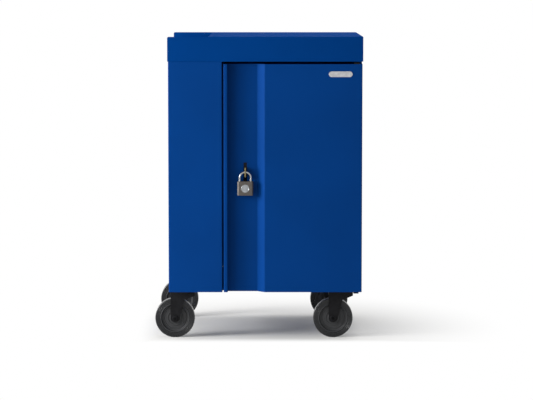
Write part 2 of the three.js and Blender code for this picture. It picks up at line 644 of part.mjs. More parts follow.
// Rear panel with its vents, and the inlet module with a rocker switch that passes through it
function buildRearPanel(switchParent) {
  const right = INNER_SIDE - FIT_GAP;
  const left = PANEL_EDGE;
  const section = foldedSheet([
    [right, REAR_FACE - REAR_FLANGE],
    [right, REAR_FACE],
    [left, REAR_FACE],
    [left, REAR_FACE - REAR_FLANGE],
  ]);
  const through = [REAR_FACE - 2 * SHEET, REAR_FACE + SHEET];
  const middle = { x: (left + right) / 2, z: (FLOOR_TOP + BODY_TOP) / 2 };
  const vents = [];
  for (let row = 0; row < VENT_ROWS; row += 1) {
    const z = middle.z + (row - (VENT_ROWS - 1) / 2) * VENT_ROW_PITCH;
    for (let i = 0; i < VENTS_PER_ROW; i += 1) {
      const x = middle.x + (i - (VENTS_PER_ROW - 1) / 2) * VENT_PITCH;
      vents.push(block(around(x, VENT_WIDTH), through, around(z, VENT_LENGTH)));
    }
  }
  const inletX = left + INLET_INSET;
  const inletZ = FLOOR_TOP + INLET_LIFT;
  const opening = block(
    around(inletX, INLET_WIDTH + 2 * FIT_GAP),
    through,
    around(inletZ, INLET_HEIGHT + 2 * FIT_GAP),
  );
  addPart('rear_panel', cut(raise(section, [FLOOR_TOP, BODY_TOP]), opening, ...vents), bluePaint());

  const face = REAR_FACE + INLET_FLANGE_THICKNESS;
  const socketZ = inletZ - SOCKET_DROP;
  const switchZ = inletZ + SWITCH_RISE;
  const housing = cut(
    join(
      block(around(inletX, INLET_WIDTH), [REAR_FACE - INLET_DEPTH, REAR_FACE],
        around(inletZ, INLET_HEIGHT)),
      block(around(inletX, INLET_WIDTH + 2 * INLET_FLANGE), [REAR_FACE, face],
        around(inletZ, INLET_HEIGHT + 2 * INLET_FLANGE)),
    ),
    block(around(inletX, SOCKET_WIDTH), [face - SOCKET_DEPTH, face + SHEET],
      around(socketZ, SOCKET_HEIGHT)),
    block(around(inletX, SWITCH_WIDTH + 2 * RUN_GAP), [face - SWITCH_WELL, face + SHEET],
      around(switchZ, SWITCH_HEIGHT + 2 * RUN_GAP)),
  );
  const pinY = [face - SOCKET_DEPTH - SHEET, face - SOCKET_DEPTH + INLET_PIN_LENGTH];
  const pins = [-INLET_PIN_SPREAD, 0, INLET_PIN_SPREAD].map((dx) =>
    block(around(inletX + dx, INLET_PIN_WIDTH), pinY, around(socketZ, INLET_PIN_HEIGHT)));
  addPart('power_inlet', join(housing, ...pins), blackPlastic());

  // The rocker is drawn upright about its pivot and lies tilted to its off side.
  const half = SWITCH_HEIGHT / 2;
  const rocker = new THREE.Shape([
    [-SWITCH_BODY, -half], [SWITCH_CREST, -half], [SWITCH_VALLEY, 0],
    [SWITCH_CREST, half], [-SWITCH_BODY, half],
  ].map(([y, z]) => new THREE.Vector2(y, z)));
  switchParent.position.set(inletX, face - SWITCH_PIVOT_DEPTH, switchZ);
  switchParent.rotation.x = THREE.MathUtils.degToRad(-SWITCH_TILT_DEG);
  addPart('power_switch', raiseAlongX(rocker, around(0, SWITCH_WIDTH)), blackPlastic(), switchParent);
}

// Rear door of the power bay, its long hinge on the left panel's rear lip, and its cam lock
function buildRearDoor(doorParent, lockParent) {
  const radius = REAR_HINGE_DIAMETER / 2;
  const hingeX = REAR_LIP_LEFT - SIDE + RUN_GAP + radius;
  const hingeY = REAR - radius;
  const hingeZ = around((FLOOR_TOP + BODY_TOP) / 2, REAR_HINGE_LENGTH);
  const hinge = join(
    roundBar(REAR_HINGE_DIAMETER, 'z', hingeZ).translate(hingeX, hingeY, 0),
    block([hingeX - REAR_HINGE_LEAF, hingeX],
      [REAR - SHEET - REAR_HINGE_LEAF_THICKNESS, REAR - SHEET], hingeZ),
  );
  addPart('rear_hinge', hinge, darkSteel());

  const left = hingeX + radius + RUN_GAP;
  const right = PANEL_EDGE - REAR_DOOR_GAP;
  const section = foldedSheet([
    [right, REAR_FACE - REAR_FLANGE],
    [right, REAR_FACE],
    [left, REAR_FACE],
    [left, REAR_FACE - REAR_FLANGE],
  ]);
  const lockX = right - REAR_LOCK_INSET;
  const through = [REAR_FACE - 2 * SHEET, REAR_FACE + SHEET];
  const bore = roundBar(boreFor(REAR_LOCK_DIAMETER, FIT_GAP), 'y', through);
  bore.translate(lockX, 0, REAR_LOCK_HEIGHT);
  const door = cut(raise(section, [FLOOR_TOP + REAR_DOOR_GAP, BODY_TOP - REAR_DOOR_GAP]), bore);
  addPart('rear_door', door, bluePaint(), doorParent);

  const camFace = REAR_FACE - REAR_FLANGE - RUN_GAP;
  const lock = join(
    roundBar(REAR_LOCK_DIAMETER, 'y', [camFace - REAR_CAM_THICKNESS, REAR_FACE + REAR_LOCK_PROUD]),
    block(around(0, REAR_CAM_WIDTH), [camFace - REAR_CAM_THICKNESS, camFace], [0, REAR_CAM_REACH]),
  );
  const keyway = block(around(0, KEY_SLOT_WIDTH), [REAR_FACE + REAR_LOCK_PROUD - KEY_SLOT_DEPTH, LID_REAR],
    around(0, KEY_SLOT_LENGTH));
  addPart('rear_lock', cut(lock, keyway).translate(lockX, 0, REAR_LOCK_HEIGHT), zincSteel(), lockParent);
}

// Casters: fixed plate with its upper race, swivel fork, axle bolt, wheel core and tyre
function forkOutline() {
  const top = BASE_HEIGHT - CASTER_PLATE_THICKNESS - RACE_HEIGHT - FIT_GAP - WHEEL_RADIUS;
  const nose = CASTER_TRAIL + CROWN_DIAMETER / 2;
  const outline = new THREE.Shape();
  outline.moveTo(-FORK_BACK, top);
  outline.lineTo(-FORK_BACK, 0);
  outline.absarc(0, 0, FORK_BACK, Math.PI, 2 * Math.PI);
  outline.lineTo(FORK_TOE, 0);
  outline.lineTo(FORK_WAIST, FORK_WAIST_RISE);
  outline.lineTo(nose, top - CROWN_THICKNESS - FORK_SKIRT);
  outline.lineTo(nose, top);
  return outline;
}

function wheelRing(profile) {
  const ring = new THREE.LatheGeometry(profile.map(([r, y]) => new THREE.Vector2(r, y)), WHEEL_SIDES);
  return ring.rotateY(Math.PI / WHEEL_SIDES);
}

function buildCaster(name, x, y) {
  const caster = new THREE.Group();
  caster.position.set(x, y, 0);
  cart.add(caster);

  const plateTop = BASE_HEIGHT;
  const plateBottom = plateTop - CASTER_PLATE_THICKNESS;
  const raceBottom = plateBottom - RACE_HEIGHT;
  const plate = join(
    block(around(0, CASTER_PLATE_LENGTH), around(0, CASTER_PLATE_WIDTH), [plateBottom, plateTop]),
    roundBar(RACE_DIAMETER, 'z', [raceBottom, plateBottom + CASTER_PLATE_THICKNESS / 2], WHEEL_SIDES),
  );
  addPart(`${name}_plate`, plate, darkSteel(), caster);

  const legInside = WHEEL_WIDTH / 2 + HUB_CLEAR + RUN_GAP;
  const legOutside = legInside + FORK_LEG_THICKNESS;
  const axle = new THREE.Group();
  axle.position.set(-CASTER_TRAIL, 0, WHEEL_RADIUS);
  caster.add(axle);

  const crownTop = raceBottom - FIT_GAP - WHEEL_RADIUS;
  const crownZ = [crownTop - CROWN_THICKNESS, crownTop];
  const bore = boreFor(AXLE_DIAMETER, FIT_GAP);
  const fork = cut(
    join(
      raiseAlongY(forkOutline(), [-legOutside, -legInside]),
      raiseAlongY(forkOutline(), [legInside, legOutside]),
      block([-FORK_BACK, CASTER_TRAIL], around(0, 2 * legOutside), crownZ),
      roundBar(CROWN_DIAMETER, 'z', crownZ, WHEEL_SIDES).translate(CASTER_TRAIL, 0, 0),
    ),
    roundBar(bore, 'y', around(0, 4 * legOutside)),
  );
  addPart(`${name}_fork`, fork, darkSteel(), axle);

  const headInside = legOutside + FIT_GAP;
  const headOutside = headInside + AXLE_HEAD_HEIGHT;
  const bolt = new THREE.LatheGeometry([
    [0, -headOutside], [AXLE_HEAD_DIAMETER / 2, -headOutside], [AXLE_HEAD_DIAMETER / 2, -headInside],
    [AXLE_DIAMETER / 2, -headInside], [AXLE_DIAMETER / 2, headInside],
    [AXLE_HEAD_DIAMETER / 2, headInside], [AXLE_HEAD_DIAMETER / 2, headOutside], [0, headOutside],
  ].map(([r, h]) => new THREE.Vector2(r, h)), PIN_SIDES);
  addPart(`${name}_axle`, bolt, zincSteel(), axle);

  // The flats of the faceted tread touch the floor, so its corners stand a little outside the radius.
  const corner = 1 / Math.cos(Math.PI / WHEEL_SIDES);
  const half = WHEEL_WIDTH / 2;
  const tread = WHEEL_RADIUS * corner;
  const seat = tread - TYRE_DEPTH;
  const tyre = wheelRing([
    [seat, -half], [tread - TYRE_SHOULDER, -half], [tread, TYRE_SHOULDER - half],
    [tread, half - TYRE_SHOULDER], [tread - TYRE_SHOULDER, half], [seat, half], [seat, -half],
  ]);
  addPart(`${name}_tyre`, tyre, tyreRubber(), axle);

  const rim = seat - FIT_GAP * corner;
  const hub = HUB_DIAMETER / 2;
  const hubHalf = half + HUB_CLEAR;
  const web = CORE_WEB / 2;
  const coreBore = (AXLE_DIAMETER / 2 + FIT_GAP) * corner;
  const core = wheelRing([
    [coreBore, -hubHalf], [hub, -hubHalf], [hub, -web], [rim - CORE_RIM, -web], [rim - CORE_RIM, -half],
    [rim, -half], [rim, half], [rim - CORE_RIM, half], [rim - CORE_RIM, web], [hub, web],
    [hub, hubHalf], [coreBore, hubHalf], [coreBore, -hubHalf],
  ]);
  addPart(`${name}_core`, core, greyPlastic(), axle);
}

buildPanels();
buildLid();
buildFrontDoor(cart);
buildHinge('lower_hinge_bracket', BODY_LIFT - RUN_GAP, -1);
buildHinge('upper_hinge_bracket', DOOR_TOP + RUN_GAP, 1);
buildPadlock(cart, cart, cart);
buildDeviceBay();
buildPowerBay();
const switchPivot = new THREE.Group();
cart.add(switchPivot);
buildRearPanel(switchPivot);
buildRearDoor(cart, cart);
const frontAxis = FRONT + CASTER_INSET_FRONT;
const rearAxis = REAR - CASTER_INSET_REAR;
buildCaster('caster_front_left', -SWIVEL_X, frontAxis);
buildCaster('caster_front_right', SWIVEL_X, frontAxis);
buildCaster('caster_rear_left', -SWIVEL_X, rearAxis);
buildCaster('caster_rear_right', SWIVEL_X, rearAxis);

export default group;
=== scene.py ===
"""Looks of the laptop charging cart as an add-on: finishes, softened sheet edges and fittings."""

import json
import math

import bmesh
import bpy
from bpy.props import FloatProperty, FloatVectorProperty, IntProperty, PointerProperty
from mathutils import Matrix, Vector


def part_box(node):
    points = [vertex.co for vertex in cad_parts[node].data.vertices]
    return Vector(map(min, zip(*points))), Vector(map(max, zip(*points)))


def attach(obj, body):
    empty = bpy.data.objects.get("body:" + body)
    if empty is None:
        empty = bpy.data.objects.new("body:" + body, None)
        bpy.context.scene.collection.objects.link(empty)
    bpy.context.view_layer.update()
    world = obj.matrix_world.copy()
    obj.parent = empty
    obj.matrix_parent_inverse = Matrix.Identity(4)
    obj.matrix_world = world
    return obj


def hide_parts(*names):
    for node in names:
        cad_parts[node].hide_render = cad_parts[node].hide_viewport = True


bl_info = {
    "name": "Laptop charging cart",
    "version": (1, 0, 0),
    "blender": (4, 5, 0),
    "location": "3D View > Sidebar > Cart",
    "description": "Dresses the packed cart with its finishes, fittings, stage and camera",
    "category": "Object",
}

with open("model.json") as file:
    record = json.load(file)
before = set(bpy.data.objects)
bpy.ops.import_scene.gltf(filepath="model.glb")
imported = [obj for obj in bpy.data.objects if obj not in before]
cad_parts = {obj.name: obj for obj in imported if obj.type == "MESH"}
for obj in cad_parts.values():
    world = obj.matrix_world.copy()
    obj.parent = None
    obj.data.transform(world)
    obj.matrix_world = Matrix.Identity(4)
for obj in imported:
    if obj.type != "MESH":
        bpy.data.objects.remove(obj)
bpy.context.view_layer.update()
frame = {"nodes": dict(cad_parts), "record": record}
BODY_OF = {node: body for body, nodes in frame["record"]["behaviour"]["bodies"].items() for node in nodes}
SLOT_OF = {part["node"]: part["material_slot"] for part in frame["record"]["subparts"]}
CORNERS = ("front_left", "front_right", "rear_left", "rear_right")
MM = 0.001
SMOOTH_ANGLE = math.radians(40)
BEVEL_ANGLE = math.radians(33)
FLAT_ANGLE = math.radians(0.5)
UP = Vector((0, 0, 1))
RIGHT = Vector((1, 0, 0))
BACK = Vector((0, 1, 0))


def linear(red, green, blue):
    """sRGB bytes as the linear colour that a shader takes."""
    def channel(byte):
        share = byte / 255
        return share / 12.92 if share <= 0.04045 else ((share + 0.055) / 1.055) ** 2.4
    return tuple(channel(byte) for byte in (red, green, blue))


def colour(label, description, red, green, blue):
    """A colour property with a default given in sRGB bytes."""
    return FloatVectorProperty(
        name=label, description=description, subtype="COLOR", size=3,
        min=0, max=1, default=linear(red, green, blue))


def length(label, description, millimetres):
    """A length property with a default given in millimetres."""
    return FloatProperty(
        name=label, description=description, unit="LENGTH", subtype="DISTANCE",
        min=0, default=millimetres * MM)


def tilt(label, description, degrees):
    """An angle property with a default given in degrees."""
    return FloatProperty(
        name=label, description=description, subtype="ANGLE", default=math.radians(degrees))


def power(label, description, watts):
    """A lamp's power property, in watts."""
    return FloatProperty(name=label, description=description, subtype="POWER", min=0, default=watts)


class CartColours(bpy.types.PropertyGroup):
    """Base colours of the cart's finishes."""
    paint: colour("Cabinet paint", "Powder coat of the cabinet and its doors", 3, 52, 114)
    coat: colour("Caster coat", "Black coat of the caster steel, brackets and rear hinge", 21, 21, 23)
    zinc: colour("Zinc", "Plated screws, rear lock and its ring", 150, 150, 148)
    polish: colour("Polished steel", "Padlock shackle and face disc", 160, 163, 166)
    lock: colour("Padlock body", "Warm grey plating of the padlock's body", 96, 91, 87)
    brass: colour("Brass", "Hasp eye and key plug", 128, 116, 84)
    moulding: colour("Black moulding", "Catch, grip and outlet slots", 24, 25, 27)
    grey: colour("Grey moulding", "Wheel cores, outlet strip and inlet", 42, 43, 45)
    switch: colour("Switch", "Moulding of the power rocker", 12, 12, 13)
    rubber: colour("Tyre rubber", "Tyres, divider edging and sill strip", 29, 30, 32)
    plate: colour("Name plate", "Bare satin plate on the door", 186, 186, 188)


class CartSizes(bpy.types.PropertyGroup):
    """Sizes of the details that the looks add."""
    sheet_edge: length("Sheet edge", "Rounding of the cut and folded sheet edges", 0.7)
    small_edge: length("Small edge", "Rounding on the small fittings", 0.4)
    rear_gap: length("Rear gap", "Gap under the rear door that its sill strip fills", 3)
    screw_head: length("Screw head", "Diameter of a button-head screw", 9)
    bolt_head: length("Bolt head", "Width across the flats of a caster bolt", 11)
    axle_head: length("Axle head", "Width across the flats of an axle bolt", 15)
    edging: length("Divider edging", "Width of the rubber edging on a divider", 4.4)
    grip_rib: length("Grip rib", "Height of a rib on the push handle's sleeve", 0.8)
    grip_pitch: length("Grip rib pitch", "Distance between the ribs of the sleeve", 7)
    outlets: IntProperty(name="Outlets", description="Outlets on the power strip", default=8, min=1)
    round_steps: IntProperty(
        name="Round steps", description="Sides of a turned piece", default=96, min=12)


class CartStage(bpy.types.PropertyGroup):
    """Camera, lights and floor."""
    focal_pixels: FloatProperty(name="Focal length", description="In pixels of the image", default=2299)
    image_width: FloatProperty(name="Image width", description="In pixels", default=533)
    eye: FloatVectorProperty(
        name="Camera place", description="In metres", subtype="TRANSLATION",
        default=(0.0065, -7.548, 1.170))
    pitch: tilt("Pitch", "Downward tilt", 5.66)
    yaw: tilt("Yaw", "Turn to the left", -0.154)
    ambient: FloatProperty(
        name="Ambient", description="Strength of the sky on the object", default=0.41, min=0)
    key: power("Key light", "Power of the left light", 43)
    side: power("Side light", "Power of the far left light", 80)
    top: power("Top light", "Power of the top light", 50)
    near: length("Near floor", "Distance up to which the floor shows its shadow in full", 100)
    far: length("Far floor", "Distance from which the floor is plain white", 850)
    front: length("Front floor", "Distance to the front from which the floor turns white", 225)
    left: length("Left floor", "Distance to the left from which the floor turns white", 290)
    fade: length("Floor fade", "Width over which the floor turns white at the front and left", 110)
    floor: colour("Floor", "Pale studio floor", 222, 221, 218)


# Shader maths

class Socket:
    """A shader socket that adds Math nodes when it is used in arithmetic."""

    def __init__(self, finish, link):
        self.finish = finish
        self.link = link

    def maths(self, operation, first, second):
        return self.finish.node("ShaderNodeMath", {"operation": operation}, {0: first, 1: second})

    def __add__(self, other):
        return self.maths("ADD", self, other)

    def __sub__(self, other):
        return self.maths("SUBTRACT", self, other)

    def __rsub__(self, other):
        return self.maths("SUBTRACT", other, self)

    def __mul__(self, other):
        return self.maths("MULTIPLY", self, other)

    __radd__ = __add__
    __rmul__ = __mul__


class Finish:
    """A node-based material, and the one method that adds a node to it."""

    def __init__(self, tree):
        self.tree = tree
        tree.nodes.clear()

    def node(self, kind, settings=None, sockets=None, output=0):
        """Adds a node, sets it up, fills its sockets with values or links, and returns one output."""
        made = self.tree.nodes.new(kind)
        for key, value in (settings or {}).items():
            setattr(made, key, value)
        for key, value in (sockets or {}).items():
            self.plug(self.find(made.inputs, key), value)
        return Socket(self, self.find(made.outputs, output)) if made.outputs else None

    def find(self, sockets, key):
        """A node's socket by number, identifier or name."""
        if isinstance(key, int):
            return sockets[key]
        matches = [s for s in sockets if s.identifier == key] or [s for s in sockets if s.name == key]
        return matches[0]

    def plug(self, target, value):
        if isinstance(value, Socket):
            self.tree.links.new(value.link, target)
        else:
            target.default_value = value

    def place(self):
        """Where a point lies on the cart, in metres."""
        return self.node("ShaderNodeTexCoord", output="Object")

    def noise(self, place, scale, detail=2.0):
        return self.node(
            "ShaderNodeTexNoise", None, {"Vector": place, "Scale": scale, "Detail": detail}, "Fac")

    def stretched(self, place, scale):
        """The same place with each axis scaled, for brushed or streaked marks."""
        return self.node("ShaderNodeVectorMath", {"operation": "MULTIPLY"}, {0: place, 1: scale})

    def larger(self, first, second):
        return self.node("ShaderNodeMath", {"operation": "MAXIMUM"}, {0: first, 1: second})

    def seen(self):
        """1 for rays that show the surroundings: to the camera, by reflection or through glass."""
        camera, glossy, through = (
            self.node("ShaderNodeLightPath", output=f"Is {kind} Ray")
            for kind in ("Camera", "Glossy", "Transmission"))
        return self.larger(self.larger(camera, glossy), through)

    def band(self, value, low, high):
        """0 below low, 1 above high, smooth between."""
        return self.node(
            "ShaderNodeMapRange", {"interpolation_type": "SMOOTHSTEP"},
            {"Value": value, "From Min": low, "From Max": high})

    def mix(self, share, first, second):
        """A colour between two colours."""
        return self.node(
            "ShaderNodeMix", {"data_type": "RGBA"},
            {"Factor_Float": share, "A_Color": opaque(first), "B_Color": opaque(second)}, "Result_Color")

    def edges(self, radius):
        """1 along rounded edges, 0 on flat faces."""
        soft = self.node("ShaderNodeBevel", {"samples": 4}, {"Radius": radius})
        flat = self.node("ShaderNodeNewGeometry", output="Normal")
        agree = self.node(
            "ShaderNodeVectorMath", {"operation": "DOT_PRODUCT"}, {0: soft, 1: flat}, "Value")
        return self.band(1 - agree, 0.02, 0.16)

    def bump(self, height, depth):
        return self.node("ShaderNodeBump", None, {"Height": height, "Distance": depth, "Strength": 1.0})


def opaque(value):
    """A colour with full alpha, or a socket as it is."""
    return value if isinstance(value, Socket) else (*value[:3], 1.0)


def shade(value, factor):
    """A colour made lighter or darker."""
    return tuple(min(1.0, channel * factor) for channel in value[:3])


def surface(name, base, roughness, normal, fixed=None):
    """Ends a finish: one principled shader with its varying sockets and its fixed values."""
    def build(finish):
        sockets = {"Base Color": base(finish), "Roughness": roughness(finish), "Normal": normal(finish)}
        sockets.update(fixed or {})
        shader = finish.node("ShaderNodeBsdfPrincipled", None, sockets)
        finish.node("ShaderNodeOutputMaterial", None, {"Surface": shader})
    material = bpy.data.materials.new(name)
    material.use_nodes = True
    build(Finish(material.node_tree))
    return material


# Finishes

def powder_coat(name, value, sheen):
    """Satin powder coat: orange peel, a fine speckle, slow colour drift and a painted highlight along its
    rounded edges.
    """
    def base(f):
        drift = f.band(f.noise(f.place(), 4.0, 3.0), 0.3, 0.7)
        speckle = f.band(f.noise(f.place(), 1400.0, 1.0), 0.35, 0.7)
        even = f.mix(drift, shade(value, 0.95), shade(value, 1.05))
        grain = f.mix(speckle * 0.12, even, shade(value, 1.5))
        # Painted highlight: the coat is made lighter along the rounded edges, where light catches them.
        return f.mix(f.edges(1.2 * MM) * 0.3, grain, shade(value, 1.9))

    def roughness(f):
        smear = f.noise(f.stretched(f.place(), (9.0, 9.0, 3.0)), 1.0, 4.0)
        return smear * 0.12 + 0.46

    def normal(f):
        peel = f.noise(f.place(), 380.0, 2.0)
        grain = f.noise(f.place(), 1700.0, 1.0)
        return f.bump(peel + grain * 0.35, 0.06 * MM)
    return surface(name, base, roughness, normal, {"Specular IOR Level": sheen})


def black_coat(name, value):
    """Dipped black coat on pressed steel: mottled, and lighter along its rounded edges."""
    def base(f):
        mottle = f.band(f.noise(f.place(), 60.0, 4.0), 0.35, 0.7)
        even = f.mix(mottle, shade(value, 0.8), shade(value, 1.2))
        # The coat is made lighter along the rounded edges.
        return f.mix(f.edges(1.0 * MM) * 0.4, even, shade(value, 3.2))

    def roughness(f):
        return f.noise(f.place(), 90.0, 3.0) * 0.2 + 0.38

    def normal(f):
        return f.bump(f.noise(f.place(), 700.0, 3.0), 0.08 * MM)
    return surface(name, base, roughness, normal, {"Specular IOR Level": 0.1})


def brushed(name, value, grain, rough):
    """Metal with fine drawn marks along one axis and a patchy tone."""
    def base(f):
        marks = f.noise(f.stretched(f.place(), grain), 1.0, 3.0)
        patch = f.band(f.noise(f.place(), 120.0, 3.0), 0.3, 0.75)
        tone = f.mix(patch, shade(value, 0.86), shade(value, 1.08))
        return f.mix(f.band(marks, 0.35, 0.75) * 0.25, tone, shade(value, 0.7))

    def roughness(f):
        return f.noise(f.stretched(f.place(), grain), 1.0, 2.0) * 0.22 + rough

    def normal(f):
        return f.bump(f.noise(f.stretched(f.place(), grain), 1.0, 3.0), 0.004 * MM)
    return surface(name, base, roughness, normal, {"Metallic": 1.0})


def moulded(name, value, texture, rough):
    """Moulded plastic with a spark-eroded grain and faint handling marks."""
    def base(f):
        tone = f.band(f.noise(f.place(), 30.0, 3.0), 0.3, 0.7)
        fleck = f.band(f.noise(f.place(), 2200.0, 1.0), 0.5, 0.8)
        even = f.mix(tone, shade(value, 0.88), shade(value, 1.12))
        return f.mix(fleck * 0.2, even, shade(value, 1.7))

    def roughness(f):
        return f.noise(f.place(), 45.0, 3.0) * 0.18 + rough

    def normal(f):
        return f.bump(f.noise(f.place(), texture, 2.0), 0.07 * MM)
    return surface(name, base, roughness, normal, {"Specular IOR Level": 0.4})


def tread_rubber(name, value):
    """Grey-black rubber: a dusty bloom, scuffs and a coarse pebble."""
    def base(f):
        bloom = f.band(f.noise(f.place(), 24.0, 4.0), 0.35, 0.75)
        scuff = f.band(f.noise(f.stretched(f.place(), (60.0, 900.0, 60.0)), 1.0, 3.0), 0.6, 0.8)
        even = f.mix(bloom, shade(value, 0.85), shade(value, 1.2))
        return f.mix(scuff * 0.3, even, shade(value, 1.8))

    def roughness(f):
        return f.noise(f.place(), 50.0, 3.0) * 0.14 + 0.22

    def normal(f):
        return f.bump(f.noise(f.place(), 1100.0, 2.0), 0.05 * MM)
    return surface(name, base, roughness, normal, {"Specular IOR Level": 0.45})


def make_finishes(colours):
    """Every finish of the cart, by the record's slot names and a few more."""
    return {
        "blue_paint": powder_coat("blue_powder_coat", colours.paint, 0.025),
        "lid_paint": powder_coat("lid_powder_coat", colours.paint, 0.0005),
        "dark_steel": black_coat("black_dip_coat", colours.coat),
        "zinc_steel": brushed("zinc_plate", colours.zinc, (300.0, 300.0, 900.0), 0.3),
        "polished_steel": brushed("polished_plate", colours.polish, (500.0, 500.0, 120.0), 0.12),
        "lock_plate": brushed("padlock_plate", colours.lock, (90.0, 700.0, 1500.0), 0.34),
        "brass": brushed("dull_brass", colours.brass, (400.0, 900.0, 400.0), 0.28),
        "black_plastic": moulded("black_moulding", colours.moulding, 1500.0, 0.42),
        "grey_plastic": moulded("grey_moulding", colours.grey, 1200.0, 0.48),
        "switch_plastic": moulded("switch_moulding", colours.switch, 1500.0, 0.3),
        "tyre_rubber": tread_rubber("tyre_rubber", colours.rubber),
        "plate_silver": brushed("satin_plate", colours.plate, (60.0, 900.0, 1600.0), 0.36),
    }


def finish_named(slot):
    """A finish by slot, made once."""
    if not FINISHES:
        FINISHES.update(make_finishes(bpy.context.scene.cart_colours))
    return FINISHES[slot]


FINISHES = {}


# Mesh building

def add_piece(name, build, body, slot, finish=None, stands_for=()):
    """A bmesh as a shown piece that rides on a body, with its finish and smooth rounded shading."""
    bmesh.ops.recalc_face_normals(build, faces=build.faces)
    mesh = bpy.data.meshes.new(name)
    build.to_mesh(mesh)
    build.free()
    for polygon in mesh.polygons:
        polygon.use_smooth = True
    mesh.set_sharp_from_angle(angle=SMOOTH_ANGLE)
    piece = bpy.data.objects.new(name, mesh)
    bpy.context.scene.collection.objects.link(piece)
    weighted = piece.modifiers.new("weighted_normals", "WEIGHTED_NORMAL")
    weighted.keep_sharp = True
    mesh.materials.append(finish_named(finish or slot))
    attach(piece, body)
    if stands_for:
        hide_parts(*stands_for)
    return piece


def round_edges(build, edges, width, steps=2):
    """Rounds the given edges of a bmesh."""
    bmesh.ops.bevel(
        build, geom=edges, offset=width, segments=steps, profile=0.5,
        affect="EDGES", clamp_overlap=True)


def sharp_edges(build):
    return [e for e in build.edges if len(e.link_faces) == 2 and e.calc_face_angle() > BEVEL_ANGLE]


def rounded_copy(node, width):
    """A bmesh of a CAD node's own shape with its sharp edges rounded."""
    build = bmesh.new()
    build.from_mesh(frame["nodes"][node].data)
    bmesh.ops.remove_doubles(build, verts=build.verts, dist=MM / 1000)
    bmesh.ops.dissolve_limit(build, angle_limit=FLAT_ANGLE, verts=build.verts, edges=build.edges)
    round_edges(build, sharp_edges(build), width)
    return build


def soften(node, width, finish=None):
    """A CAD node's own shape with its sharp edges rounded, standing for the node."""
    build = rounded_copy(node, width)
    return add_piece(f"{node}_formed", build, BODY_OF[node], SLOT_OF[node], finish, (node,))


def axis_place(origin, axis):
    """A matrix whose local Z lies along the axis, at the origin."""
    return Matrix.Translation(origin) @ UP.rotation_difference(axis).to_matrix().to_4x4()


def flat_sided(angle, sides):
    """How far a regular polygon reaches at an angle, as a share of its corners' radius."""
    half = math.pi / sides
    return math.cos(half) / math.cos(angle % (2 * half) - half)


def turn(build, profile, place, steps, closed=False):
    """Adds a turned shape: a profile of (radius, height) spun about the place's local Z.

    A third value in a point of the profile makes its ring a polygon of that many sides.
    """
    rings = []
    for radius, height, *sides in profile:
        ring = []
        for i in range(steps if radius > 0 else 1):
            angle = math.tau * i / steps
            reach = radius * flat_sided(angle, sides[0]) if sides else radius
            point = Vector((reach * math.cos(angle), reach * math.sin(angle), height))
            ring.append(build.verts.new(place @ point))
        rings.append(ring)
    pairs = list(zip(rings, rings[1:]))
    if closed:
        pairs.append((rings[-1], rings[0]))
    for low, high in pairs:
        for i in range(steps):
            j = (i + 1) % steps
            corners = [low[i % len(low)], low[j % len(low)], high[j % len(high)], high[i % len(high)]]
            corners = list(dict.fromkeys(corners))
            if len(corners) > 2:
                build.faces.new(corners)


def loft(build, rings):
    """Joins rings of points in their order and closes both ends."""
    for first, second in zip(rings, rings[1:]):
        for k in range(len(first)):
            build.faces.new((first[k], first[k - 1], second[k - 1], second[k]))
    build.faces.new(rings[0])
    build.faces.new(rings[-1])


def sweep(build, path, across, radius, angles):
    """Adds a bar along a path. The two directions of its section come from the way ahead."""
    rings = []
    for i, point in enumerate(path):
        ahead = (path[min(i + 1, len(path) - 1)] - path[max(i - 1, 0)]).normalized()
        side, out = across(ahead)
        rings.append([
            build.verts.new(point + radius * (math.cos(a) * side + math.sin(a) * out)) for a in angles])
    loft(build, rings)


def brick(build, low, high, edge, steps=2):
    """Adds a box between two corners with rounded edges."""
    size = high - low
    place = Matrix.Translation((low + high) / 2) @ Matrix.Diagonal((*size, 1))
    made = bmesh.ops.create_cube(build, size=1, matrix=place)
    edges = list({e for v in made["verts"] for e in v.link_edges})
    round_edges(build, edges, edge, steps)


def arc(centre, radius, start, stop, steps):
    """Points of an arc in a turned profile, as (radius, height), angles in degrees."""
    angles = [math.radians(start + (stop - start) * i / steps) for i in range(steps + 1)]
    return [(centre[0] + radius * math.cos(a), centre[1] + radius * math.sin(a)) for a in angles]


def hex_head(build, place, flats, height):
    """Adds a hexagon bolt head with a washer face and a domed chamfer on top."""
    radius = flats / math.sqrt(3)
    washer = 0.2 * height
    turn(build, [(0, 0), (radius * 1.15, 0), (radius * 1.15, washer), (0, washer)], place, 24)
    turn(build, [
        (0, washer), (radius, washer), (radius, height * 0.86),
        (radius * 0.88, height), (0, height)], place, 6)


def screw_head(build, place, diameter):
    """Adds a button-head screw with a hexagon socket."""
    radius = diameter / 2
    dome = arc((0, -0.35 * radius), radius * 1.06, 20, 62, 4)
    socket = 0.4 * radius
    top = dome[-1][1]
    sunk = top - 0.3 * radius
    mouth = [(socket * 1.12, top), (socket, top - 0.04 * radius, 6), (socket, sunk, 6), (0, sunk)]
    turn(build, [(0, 0), (radius, 0), *dome, *mouth], place, 24)


def screws(name, places, body, diameter):
    """One piece holding a group of like screws, each given as a point and the way that it faces."""
    build = bmesh.new()
    for point, axis in places:
        screw_head(build, axis_place(point, axis), diameter)
    return add_piece(name, build, body, "zinc_steel")


# Operators

class CART_OT_cabinet(bpy.types.Operator):
    """Folded sheet panels, lid and doors with softened edges and powder coat"""
    bl_idname = "cart.cabinet"
    bl_label = "Cabinet"

    def execute(self, context):
        edge = context.scene.cart_sizes.sheet_edge
        for node, slot in SLOT_OF.items():
            if slot == "blue_paint":
                soften(node, edge, "lid_paint" if node == "top_lid" else slot)
        return {"FINISHED"}


